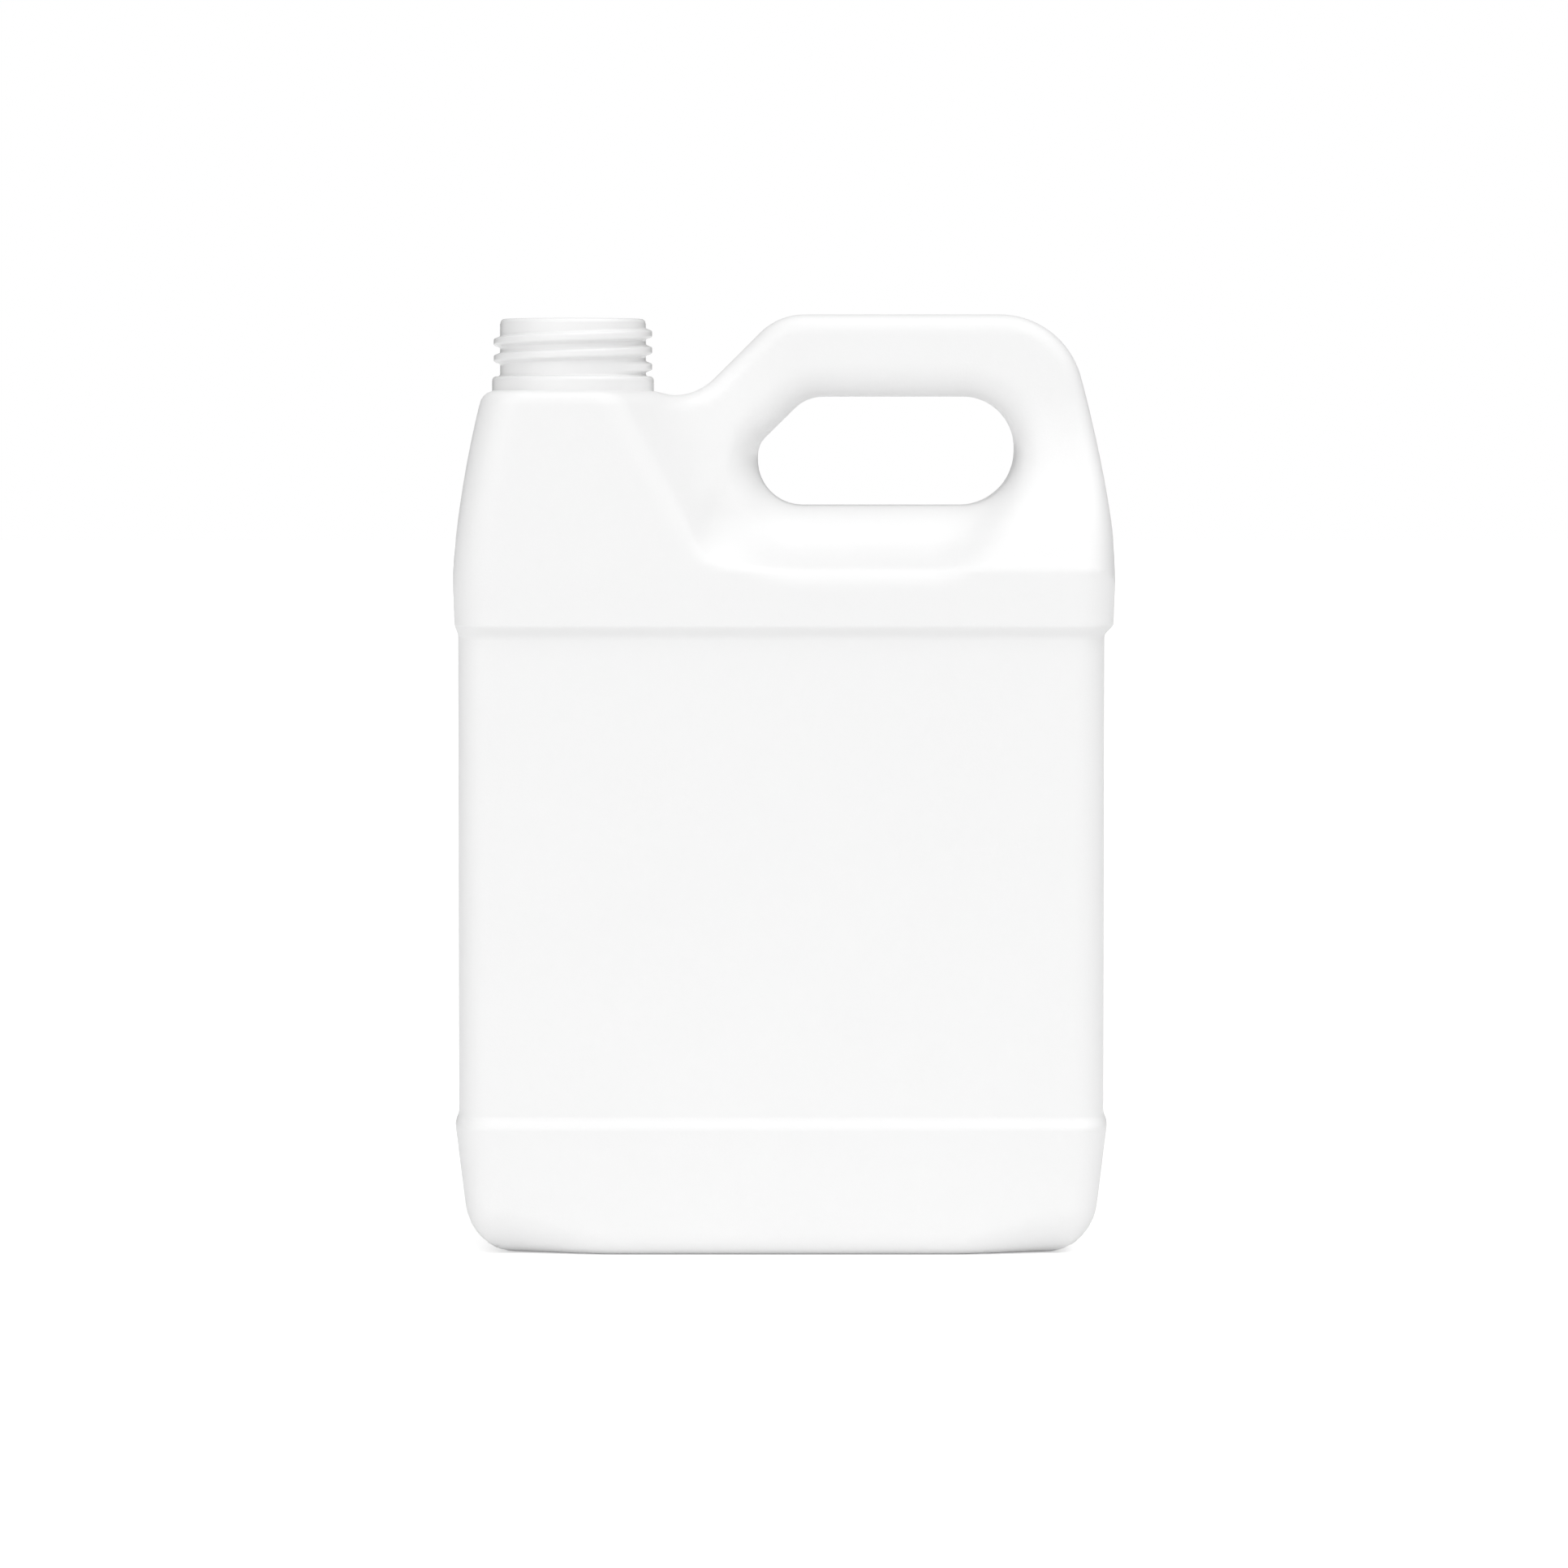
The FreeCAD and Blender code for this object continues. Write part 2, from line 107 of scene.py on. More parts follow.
# Curved end walls
WALL_BLEND_RADIUS = 88 * MM
WALL_BLEND_TILT = 0.096
WALL_CURVE_RADIUS = 245 * MM

# Full-depth block under the neck and the sloping roof under the handle
BLOCK_EDGE_X = -28.2 * MM
BLOCK_FACING = (0.682, 0.630, 0.372)
ROOF_FACING = (0.628, 0.778)
VALLEY_RADIUS = 14 * MM
BLOCK_EDGE_RADIUS = 9 * MM
ROOF_EDGE_RADIUS = 3 * MM
BLOCK_TOP_RADIUS = 3 * MM

# Handle loop
HANDLE_HALF = 15 * MM
HANDLE_CORNER_RADIUS = 20 * MM
OUTER_LEG_GROWTH = 0.8 * MM
OUTER_LEG_RUN = 17 * MM
HANDLE_SHOULDER_RADIUS = 15 * MM
HANDLE_OUTER_EDGE = 4.4 * MM
HANDLE_EDGE_LEVELS = (155 * MM, 183 * MM)
BLOCK_TOP_SPAN = (-40 * MM, -10 * MM)
HANDLE_INNER_EDGE = 7.5 * MM
HANDLE_ROOT_BLEND = 16 * MM
WEB_RISE = 5 * MM
WEB_FADE = 12 * MM
DIP_X = -25.85 * MM
DIP_START_X = -32 * MM
DIP_DROP = 1.1 * MM
DIP_RADIUS = 13 * MM
DIP_CENTRE_Z = SHOULDER_HEIGHT - DIP_DROP + DIP_RADIUS
SLANT = math.sqrt(0.5)

# Opening for the hand, and the hollow around it for the fingers
GRIP_LEFT = -6.2 * MM
GRIP_RIGHT = 54.7 * MM
GRIP_TOP = HEIGHT - 19.4 * MM
GRIP_BOTTOM = GRIP_TOP - 25.6 * MM
GRIP_SLANT_FOOT = 14.2 * MM
GRIP_SLANT_RUN = 11.6 * MM
GRIP_RADII = (10.6 * MM, 6 * MM, 9.6 * MM, 12.2 * MM, 12.8 * MM)
SCOOP_WIDTH = 8.2 * MM
SCOOP_FLARE = 5.5 * MM
SCOOP_BLEND = 6 * MM
SCOOP_NARROWING = 0.7
SCOOP_LEVELS = (HEIGHT - 52 * MM, HEIGHT - 28 * MM)
SCOOP_RIGHT = (34 * MM, 64 * MM)

# Neck with its bead and thread
NECK_X = -50.1 * MM
NECK_TOP = SHOULDER_HEIGHT + 17 * MM
NECK_ROOT = 17.2 * MM
NECK_BORE = 15.2 * MM
NECK_MIDDLE = (NECK_ROOT + NECK_BORE) / 2
NECK_SEAT = 16.3 * MM
NECK_SEAT_OVERLAP = 0.7 * MM
NECK_SEAT_DEPTH = 0.4 * MM
NECK_SEAT_BELOW_WALL = 0.2 * MM
NECK_OPENING_DEPTH = NECK_BORE / 3
RIM_ROUNDING = 1 * MM
NECK_ROUNDINGS = (0.3 * MM, 0.6 * MM, RIM_ROUNDING, 0.6 * MM, 1 * MM, 0.1 * MM, 0.1 * MM, 0.1 * MM)
BEAD_RADIUS = 19.1 * MM
BEAD_TOP = SHOULDER_HEIGHT + 3.4 * MM
THREAD_RISE = 1.5 * MM
THREAD_START = SHOULDER_HEIGHT + 5 * MM
THREAD_START_TURN = math.radians(-60)
THREAD_RUN_OUT = math.radians(50)
THREAD_ROOT_WIDTH = 2.9 * MM
THREAD_CREST_WIDTH = 1.3 * MM

# Mesh of the neck: rows along its profile, and turns in degrees, closer beside the parting line
NECK_ROW_SPACING = 0.25 * MM
NECK_TURN_STEP = 1.5
NECK_LINE_STEPS = (-1, -0.5, 0.5, 1)

# Marks of moulding in the plastic, as sizes across and depths
GRAIN_SIZE = 0.42 * MM
GRAIN_DEPTH = 0.024 * MM
NECK_GRAIN_DEPTH = 0.005 * MM
DIE_LINE_WIDTH = 2.2 * MM
DIE_LINE_LENGTH = 160 * MM
DIE_LINE_DEPTH = 0.012 * MM
SWELL_WIDTH = 32 * MM
SWELL_DEPTH = 0.3 * MM
CLOUD_WIDTH = 45 * MM
CLOUD_DARKENING = 0.985
PATCH_WIDTH = 13 * MM
PATCH_ROUGHNESS = 0.05
PATCH_CONTRAST = (0.3, 0.7)
HDPE_IOR = 1.54
RUB_HEIGHT = 1.6 * MM
RUB_ROUGHNESS = 0.25
RUB_DARKENING = 0.93
CARD_TOOTH_SIZE = 0.7 * MM
CARD_TOOTH_DEPTH = 0.03 * MM

# Stage: floor, camera, and the width of what it sees round the jug
FLOOR_REACH = 12.0
CAMERA_DISTANCE = 1.7
CAMERA_HEIGHT = 0.19
AIM_HEIGHT = 0.1085
VIEW_WIDTH = 0.3729
SENSOR_WIDTH = 36.0

# Studio: even light from all round, and soft patches of light as (name, direction, inner edge, outer
# edge, brightness), each edge as the cosine of its angle from the middle of the patch
FLOOR_GLOW = 0.05
FLOOR_SEEN_GLOW = 0.42
ROOM_LIGHT = 0.16
SOFT_LIGHTS = (
    ("above the camera", (0, -0.5, 0.87), 0.95, 0.5, 0.73),
    ("upper right", (0.55, -0.35, 0.76), 0.95, 0.6, 0.84),
    ("left of the camera", (-0.65, -0.75, 0.15), 0.97, 0.75, 1.08),
    ("behind the camera", (0, -1, 0.1), 0.97, 0.75, 0.38),
    ("above and behind", (0, 0.6, 0.8), 0.95, 0.5, 0.42),
    ("left side", (-1, -0.15, 0.1), 0.97, 0.7, 0.1),
)


def ramp(value, start, end):
    """0 up to start and 1 from end on, with a smooth rise between them."""
    share = np.clip((value - start) / (end - start), 0, 1)
    return share * share * (3 - 2 * share)


def round_edge(a, b, radius, cosine=0.0):
    """Two surfaces that meet in an outward edge of that radius. a and b are distances outside each
    surface, and cosine is that of the angle between the directions they face."""
    a, b = a + radius, b + radius
    past_both = (a > cosine * b) & (b > cosine * a)
    arc = np.sqrt(np.maximum(a * a + b * b - 2 * cosine * a * b, 0) / (1 - cosine * cosine))
    return np.where(past_both, arc, np.maximum(a, b)) - radius


def fill_corner(a, b, radius, cosine=0.0):
    """Two surfaces that meet in an inward corner, filled with that radius."""
    return -round_edge(-a, -b, radius, cosine)


def soft_join(a, b, reach):
    """Both forms together, blended where they are closer than reach."""
    share = np.clip(0.5 + 0.5 * (b - a) / reach, 0, 1)
    return b + (a - b) * share - reach * share * (1 - share)


def rounded_outline(x, z, corners, radii):
    """The distance outside a closed outline of straight edges, listed clockwise, with rounded corners."""
    edges = []
    for (x0, z0), (x1, z1) in zip(corners, corners[1:] + corners[:1]):
        length = np.hypot(x1 - x0, z1 - z0)
        edges.append(((z0 - z1) / length, (x1 - x0) / length, x0, z0))
    outside = None
    for before, after, radius in zip(edges[-1:] + edges[:-1], edges, radii):
        a, b = ((x - x0) * nx + (z - z0) * nz for nx, nz, x0, z0 in (before, after))
        corner = round_edge(a, b, radius, before[0] * after[0] + before[1] * after[1])
        outside = corner if outside is None else np.maximum(outside, corner)
    return outside


def side_inset(z, panel_inset, base_step=BASE_STEP_HEIGHT, panel_top=PANEL_TOP_HEIGHT, taper=1):
    """How far the base band and the label panel stand back from the full size."""
    below_taper = np.maximum(BASE_TAPER_HEIGHT - z, 0) / (BASE_TAPER_HEIGHT - BASE_EDGE_RADIUS)
    base = BASE_BAND_INSET + taper * (BASE_EDGE_INSET - BASE_BAND_INSET) * below_taper
    into_panel = ramp(z, base_step - HALF_STEP, base_step + HALF_STEP)
    into_band = ramp(z, panel_top - HALF_STEP, panel_top + HALF_STEP)
    lower = base + (panel_inset - base) * into_panel
    band_foot = BAND_FOOT_INSET * into_band * (1 - ramp(z, panel_top, ROOF_START_HEIGHT))
    return lower * (1 - into_band) + band_foot


def wall_curve_centre():
    """The centre of an end wall's large arc, as distances from the middle and above the standing plane."""
    gap = WALL_CURVE_RADIUS - WALL_BLEND_RADIUS
    x = HALF_WIDTH - WALL_BLEND_RADIUS - gap * math.cos(WALL_BLEND_TILT)
    return x, WALL_CURVE_START - gap * math.sin(WALL_BLEND_TILT)


def end_wall(out, z):
    """The distance outside an end wall, upright up to the shoulder band and leaning inwards above it.
    out is measured from the middle of the jug towards that wall."""
    blend_x = HALF_WIDTH - WALL_BLEND_RADIUS
    curve_x, curve_z = wall_curve_centre()
    tilt = np.arctan2(z - WALL_CURVE_START, out - blend_x)
    blend = np.hypot(out - blend_x, z - WALL_CURVE_START) - WALL_BLEND_RADIUS
    curve = np.hypot(out - curve_x, z - curve_z) - WALL_CURVE_RADIUS
    leaning = np.where(tilt < WALL_BLEND_TILT, blend, curve)
    return np.where(z < WALL_CURVE_START, out - HALF_WIDTH, leaning)


def lower_shift(z):
    """How far the panel and the base stand towards the neck's side, under the shoulder band."""
    into_band = ramp(z, PANEL_TOP_HEIGHT - HALF_STEP, PANEL_TOP_HEIGHT + HALF_STEP)
    return LOWER_BODY_SHIFT * (1 - into_band)


def handle_corner():
    """The centre of the handle's outer corner, and the tilt at which it runs into the end wall."""
    curve_x, curve_z = wall_curve_centre()
    curve_x += OUTER_LEG_GROWTH
    z = HEIGHT - HANDLE_CORNER_RADIUS
    tilt = math.asin((z - curve_z) / (WALL_CURVE_RADIUS - HANDLE_CORNER_RADIUS))
    return curve_x + (WALL_CURVE_RADIUS - HANDLE_CORNER_RADIUS) * math.cos(tilt), z, tilt


def top_outline(x, z):
    """The distance outside the front outline: shoulder, dip, slant up to the handle, handle, outer wall."""
    slant = ((z - DIP_CENTRE_Z) - (x - DIP_X)) * SLANT + DIP_RADIUS
    handle = round_edge(z - HEIGHT, slant, HANDLE_SHOULDER_RADIUS, SLANT)
    shoulder = z - SHOULDER_HEIGHT + DIP_DROP * ramp(x, DIP_START_X, DIP_X)
    top = fill_corner(handle, shoulder, DIP_RADIUS, SLANT)
    growth = OUTER_LEG_GROWTH * ramp(z, WALL_CURVE_START, WALL_CURVE_START + OUTER_LEG_RUN)
    wall = np.maximum(end_wall(x - growth, z), x - HALF_WIDTH)
    corner_x, corner_z, tilt = handle_corner()
    u, v = x - corner_x, z - corner_z
    in_corner = (u > 0) & (v * math.cos(tilt) > u * math.sin(tilt))
    return np.where(in_corner, np.hypot(u, v) - HANDLE_CORNER_RADIUS, np.maximum(top, wall))


def depth_form(x, y, z, panel_inset):
    """The distance outside the form through the depth: flat faces, neck block, roof, scoop and handle."""
    face = y - HALF_DEPTH
    block = (x - BLOCK_EDGE_X) * BLOCK_FACING[0] + face * BLOCK_FACING[1]
    block = block + (z - BLOCK_EDGE_HEIGHT) * BLOCK_FACING[2]
    roof = face * ROOF_FACING[0] + (z - ROOF_START_HEIGHT) * ROOF_FACING[1]
    alike = BLOCK_FACING[1] * ROOF_FACING[0] + BLOCK_FACING[2] * ROOF_FACING[1]
    slopes = fill_corner(block, roof, VALLEY_RADIUS, alike)
    steps = BASE_STEP_HEIGHT - FACE_BASE_STEP_DROP, PANEL_TOP_HEIGHT - FACE_PANEL_TOP_DROP
    inset = side_inset(z, panel_inset + FACE_PANEL_EXTRA, *steps, FACE_TAPER_SHARE)
    past_block = ramp(x, BLOCK_EDGE_X, BLOCK_EDGE_X + VALLEY_RADIUS)
    edge = BLOCK_EDGE_RADIUS + (ROOF_EDGE_RADIUS - BLOCK_EDGE_RADIUS) * past_block
    body = round_edge(face + inset, slopes, edge, BLOCK_FACING[1])
    flare = SCOOP_FLARE * np.maximum(y - HANDLE_HALF, 0) / (HALF_DEPTH - HANDLE_HALF)
    short_of_leg = 1 - ramp(x, *SCOOP_RIGHT)
    under_grip = (1 - SCOOP_NARROWING * ramp(z, *SCOOP_LEVELS)) * short_of_leg
    scoop = grip_outline(x, z) - (SCOOP_WIDTH + flare) * under_grip
    body = -soft_join(-body, scoop, SCOOP_BLEND)
    web = WEB_RISE * (1 - ramp(z, GRIP_BOTTOM, GRIP_BOTTOM + WEB_FADE)) * short_of_leg
    return soft_join(body, y - HANDLE_HALF - web, HANDLE_ROOT_BLEND)


def grip_outline(x, z):
    """The distance outside the outline of the opening for the hand."""
    corners = [
        (GRIP_LEFT, GRIP_BOTTOM),
        (GRIP_LEFT, GRIP_BOTTOM + GRIP_SLANT_FOOT),
        (GRIP_LEFT + GRIP_SLANT_RUN, GRIP_TOP),
        (GRIP_RIGHT, GRIP_TOP),
        (GRIP_RIGHT, GRIP_BOTTOM),
    ]
    return rounded_outline(x, z, corners, GRIP_RADII)


def jug_form(x, y, z, sizes):
    """The distance outside the jug's moulded form, without its neck."""
    y_out = np.abs(y)
    inset = side_inset(z, sizes.panel_inset)
    body = depth_form(x, y_out, z, sizes.panel_inset)
    shift = lower_shift(z)
    left = end_wall(-x, z) + inset - shift
    upright_edge = sizes.corner_radius - inset
    body = round_edge(left, body, upright_edge)
    outer_edge = upright_edge + (HANDLE_OUTER_EDGE - upright_edge) * ramp(z, *HANDLE_EDGE_LEVELS)
    edge = BLOCK_TOP_RADIUS + (outer_edge - BLOCK_TOP_RADIUS) * ramp(x, *BLOCK_TOP_SPAN)
    body = round_edge(body, top_outline(x, z) + inset + shift, edge)
    body = round_edge(body, -grip_outline(x, z), HANDLE_INNER_EDGE)
    x_out = np.abs(x)
    plan = round_edge(x_out - HALF_WIDTH + RECESS_MARGIN, y_out - HALF_DEPTH + RECESS_MARGIN, RECESS_CORNER)
    recess = RECESS_RISE * (1 - ramp(plan, -RECESS_RUN, 0))
    to_end = ramp(x_out, HALF_WIDTH / 2, HALF_WIDTH - sizes.corner_radius)
    base_edge = BASE_FRONT_RADIUS + (BASE_EDGE_RADIUS - BASE_FRONT_RADIUS) * to_end
    return round_edge(body, recess - z, base_edge)


def moulded_form(x, y, z, sizes):
    """The form with the mould's parting line standing on it as a fine ridge, and its weld in the recess."""
    ridge = np.exp(-((y / sizes.parting_width) ** 2))
    clear_of_base = ramp(z, PARTING_LINE_START, PARTING_LINE_FULL)
    surface = jug_form(x, y, z, sizes) + sizes.parting_height * (1 - ridge) * clear_of_base
    in_recess = 1 - ramp(np.abs(x), WELD_END - WELD_FADE, WELD_END)
    weld = sizes.weld_height * np.exp(-((y / (WELD_WIDENING * sizes.parting_width)) ** 2))
    return surface - weld * in_recess * (1 - clear_of_base)


def grid_lines(low, high, spacing, fine=()):
    """Positions from low to high at that spacing, closer where fine gives (start, end, spacing)."""
    lines = [low]
    while lines[-1] < high:
        step = min([spacing] + [close for start, end, close in fine if start <= lines[-1] < end])
        lines.append(lines[-1] + step)
    return np.array(lines)


def surface_net(form, xs, ys, zs):
    """A closed mesh of quads on the surface where form is zero, with one vertex in each cell it crosses."""
    values = form(xs[:, None, None], ys[None, :, None], zs[None, None, :])
    inside = values < 0
    lines = (xs, ys, zs)
    cells = tuple(len(positions) - 1 for positions in lines)
    corner_count = np.zeros(cells, int)
    for i in (0, 1):
        for j in (0, 1):
            for k in (0, 1):
                corner_count += inside[i : cells[0] + i, j : cells[1] + j, k : cells[2] + k]
    crossed = (corner_count > 0) & (corner_count < 8)
    number = np.full(cells, -1)
    number[crossed] = np.arange(crossed.sum())
    spots = np.argwhere(crossed)
    total = np.zeros((len(spots), 3))
    count = np.zeros(len(spots))
    for axis in range(3):
        others = [a for a in range(3) if a != axis]
        for p in (0, 1):
            for q in (0, 1):
                start = spots.copy()
                start[:, others[0]] += p
                start[:, others[1]] += q
                end = start.copy()
                end[:, axis] += 1
                a, b = values[tuple(start.T)], values[tuple(end.T)]
                meets = (a < 0) != (b < 0)
                share = np.where(meets, a / np.where(meets, a - b, 1), 0)
                place = np.stack([lines[c][start[:, c]] for c in range(3)], 1)
                place[:, axis] += share * (lines[axis][end[:, axis]] - lines[axis][start[:, axis]])
                total += place * meets[:, None]
                count += meets
    vertices = total / count[:, None]
    faces = []
    for axis in range(3):
        first, second = (axis + 1) % 3, (axis + 2) % 3
        size = list(inside.shape)
        low = [slice(1, n - 1) for n in size]
        low[axis] = slice(0, size[axis] - 1)
        high = list(low)
        high[axis] = slice(1, size[axis])
        enters, leaves = inside[tuple(low)], inside[tuple(high)]
        for outward in (True, False):
            found = np.argwhere(enters & ~leaves if outward else ~enters & leaves)
            found += np.array([0 if a == axis else 1 for a in range(3)])
            ring = []
            for da, db in ((-1, -1), (0, -1), (0, 0), (-1, 0)):
                cell = found.copy()
                cell[:, first] += da
                cell[:, second] += db
                ring.append(number[tuple(cell.T)])
            faces.append(np.stack(ring if outward else ring[::-1], 1))
    return vertices, np.concatenate(faces)


def slope(form, points, step=0.02 * MM):
    """The gradient of form at each point."""
    out = np.empty_like(points)
    for axis in range(3):
        ahead, behind = points.copy(), points.copy()
        ahead[:, axis] += step
        behind[:, axis] -= step
        out[:, axis] = (form(*ahead.T) - form(*behind.T)) / (2 * step)
    return out


def settle(form, points, rounds=4, least_slope=0.05):
    """The points moved straight onto the surface where form is zero."""
    for _ in range(rounds):
        steep = slope(form, points)
        points = points - steep * (form(*points.T) / np.maximum((steep**2).sum(1), least_slope))[:, None]
    return points


def rounded_path(corners, radii, arc_steps=6):
    """Points along a closed profile with its corners rounded."""
    path = []
    count = len(corners)
    for i, radius in enumerate(radii):
        before, corner, after = (np.array(corners[(i + k) % count]) for k in (-1, 0, 1))
        to_before = (before - corner) / np.linalg.norm(before - corner)
        to_after = (after - corner) / np.linalg.norm(after - corner)
        half_angle = math.acos(float(np.clip(to_before @ to_after, -1, 1))) / 2
        reach = radius / math.tan(half_angle)
        middle = (to_before + to_after) / np.linalg.norm(to_before + to_after)
        centre = corner + middle * radius / math.sin(half_angle)
        start, end = corner + to_before * reach - centre, corner + to_after * reach - centre
        sweep = math.pi - 2 * half_angle
        for step in range(arc_steps + 1):
            share = step / arc_steps
            blend = math.sin((1 - share) * sweep) * start + math.sin(share * sweep) * end
            path.append(centre + blend / math.sin(sweep))
    return np.array(path)


def spaced(path, spacing):
    """A closed path with points added so that none are further apart than spacing."""
    out = []
    for a, b in zip(path, np.roll(path, -1, axis=0)):
        steps = max(1, math.ceil(np.linalg.norm(b - a) / spacing))
        out += [a + (b - a) * k / steps for k in range(steps)]
    return np.array(out)


def thread_height(turn, z, sizes):
    """How far the thread stands out of the plain neck at that turn, in radians, and height."""
    total = 2 * math.pi * sizes.thread_turns
    height = np.zeros(np.broadcast(turn, z).shape)
    for lap in range(math.ceil(sizes.thread_turns) + 1):
        along = np.mod(turn - THREAD_START_TURN, 2 * math.pi) + 2 * math.pi * lap
        middle = THREAD_START + sizes.thread_pitch * along / (2 * math.pi)
        ridge = 1 - ramp(np.abs(z - middle), THREAD_CREST_WIDTH / 2, THREAD_ROOT_WIDTH / 2)
        ends = ramp(along, 0, THREAD_RUN_OUT) * ramp(total - along, 0, THREAD_RUN_OUT)
        height = np.maximum(height, THREAD_RISE * ridge * ends)
    return height


def add_object(name, vertices, faces, normals=None):
    """A mesh object from arrays, in the scene, with smooth shading."""
    mesh = bpy.data.meshes.new(name)
    mesh.from_pydata([tuple(v) for v in vertices], [], [tuple(f) for f in faces])
    mesh.validate()
    mesh.polygons.foreach_set("use_smooth", [True] * len(mesh.polygons))
    if normals is not None:
        mesh.normals_split_custom_set_from_vertices([tuple(n) for n in normals])
    piece = bpy.data.objects.new(name, mesh)
    bpy.context.scene.collection.objects.link(piece)
    return piece


def open_under_neck(vertices, faces):
    """The shell with a round hole in its shoulder for the neck, and the vertices round the hole in order."""
    across, along = vertices[:, 0] - NECK_X, vertices[:, 1]
    from_axis = np.hypot(across, along)
    lost = (from_axis < NECK_SEAT) & (vertices[:, 2] > SHOULDER_HEIGHT - NECK_OPENING_DEPTH)
    faces = faces[~lost[faces].any(1)]
    used = np.unique(faces)
    number = np.full(len(vertices), -1)
    number[used] = np.arange(len(used))
    vertices, faces = vertices[used], number[faces]
    edges = np.concatenate([np.stack([faces[:, k], faces[:, (k + 1) % 4]], 1) for k in range(4)])
    keys = {tuple(edge) for edge in edges.tolist()}
    following = {b: a for a, b in keys if (b, a) not in keys}
    start = min(following)
    loop = [start]
    while following[loop[-1]] != start:
        loop.append(following[loop[-1]])
    rim = vertices[loop]
    turn = np.arctan2(rim[:, 1], rim[:, 0] - NECK_X)
    vertices[loop, 0] = NECK_X + NECK_SEAT * np.cos(turn)
    vertices[loop, 1] = NECK_SEAT * np.sin(turn)
    return vertices, faces, loop


def bridge(outer_loop, inner_loop, vertices):
    """Triangles between two rings of vertices about the neck's axis, each ring in the same direction."""

    def turns(loop):
        values = np.unwrap(np.arctan2(vertices[loop, 1], vertices[loop, 0] - NECK_X))
        return values - values[0] if values[-1] > values[0] else values[0] - values

    from_start = [np.linalg.norm(vertices[k] - vertices[outer_loop[0]]) for k in inner_loop]
    nearest = from_start.index(min(from_start))
    inner_loop = inner_loop[nearest:] + inner_loop[:nearest]
    outer_turns = list(turns(outer_loop)) + [2 * math.pi]
    inner_turns = list(turns(inner_loop)) + [2 * math.pi]
    outer_loop, inner_loop = outer_loop + outer_loop[:1], inner_loop + inner_loop[:1]
    triangles = []
    i = j = 0
    while i < len(outer_loop) - 1 or j < len(inner_loop) - 1:
        step_outer = j == len(inner_loop) - 1 or (
            i < len(outer_loop) - 1 and outer_turns[i + 1] <= inner_turns[j + 1]
        )
        if step_outer:
            triangles.append((outer_loop[i], outer_loop[i + 1], inner_loop[j]))
            i += 1
        else:
            triangles.append((outer_loop[i], inner_loop[j + 1], inner_loop[j]))
            j += 1
    return triangles


class JugSizes(bpy.types.PropertyGroup):
    """Sizes of the jug that don't follow from its frame."""

    corner_radius: FloatProperty(
        name="Corner radius", description="Upright corners of the body",
        default=9.5 * MM, unit="LENGTH",
    )
    panel_inset: FloatProperty(
        name="Panel inset", description="How far the label panel stands back",
        default=1.9 * MM, unit="LENGTH",
    )
    wall: FloatProperty(name="Wall", description="Wall thickness", default=0.9 * MM, unit="LENGTH")
    parting_height: FloatProperty(
        name="Parting line height", description="How far the mould's parting line stands out",
        default=0.12 * MM, unit="LENGTH",
    )
    parting_width: FloatProperty(
        name="Parting line width", description="Half width of the parting line",
        default=0.3 * MM, unit="LENGTH",
    )
    weld_height: FloatProperty(
        name="Weld height", description="The pinched weld in the base recess",
        default=0.5 * MM, unit="LENGTH",
    )
    thread_pitch: FloatProperty(
        name="Thread pitch", description="Rise of the thread in one turn",
        default=3.9 * MM, unit="LENGTH",
    )
    thread_turns: FloatProperty(name="Thread turns", description="Turns of the thread", default=2.4)
    outer_spacing: FloatProperty(
        name="Outer mesh spacing", description="Distance between vertices outside",
        default=1.5 * MM, unit="LENGTH",
    )
    inner_spacing: FloatProperty(
        name="Inner mesh spacing", description="Distance between vertices inside",
        default=3 * MM, unit="LENGTH",
    )


class JugColours(bpy.types.PropertyGroup):
    """Colours and finish of the jug and its stage."""

    plastic: StringProperty(name="Plastic", description="sRGB hex of the body's plastic", default="F4F4F4")
    neck_plastic: StringProperty(name="Neck", description="sRGB hex of the thicker neck", default="F4F4F4")
    floor: StringProperty(name="Floor", description="sRGB hex of the floor", default="F2F2F2")
    roughness: FloatProperty(
        name="Roughness", description="Gloss of the moulded plastic",
        default=0.34, min=0, max=1, subtype="FACTOR",
    )
    neck_roughness: FloatProperty(
        name="Neck roughness", description="Gloss of the neck's smoother mould",
        default=0.21, min=0, max=1, subtype="FACTOR",
    )


def linear(colour):
    """An sRGB hex colour as the linear RGBA that shaders use."""
    parts = [int(colour[i : i + 2], 16) / 255 for i in (0, 2, 4)]
    return [c / 12.92 if c <= 0.04045 else ((c + 0.055) / 1.055) ** 2.4 for c in parts] + [1.0]


def add_node(tree, kind, settings=None, **inputs):
    """A shader node with its settings, and its inputs set to a value or linked to a socket. An input is
    named by its label, with _ for a space, or by its place after an i."""
    node = tree.nodes.new(kind)
    for name, value in (settings or {}).items():
        setattr(node, name, value)
    for name, value in inputs.items():
        place = int(name[1:]) if name[0] == "i" and name[1:].isdigit() else name.replace("_", " ")
        if isinstance(value, bpy.types.NodeSocket):
            tree.links.new(value, node.inputs[place])
        else:
            node.inputs[place].default_value = value
    return node


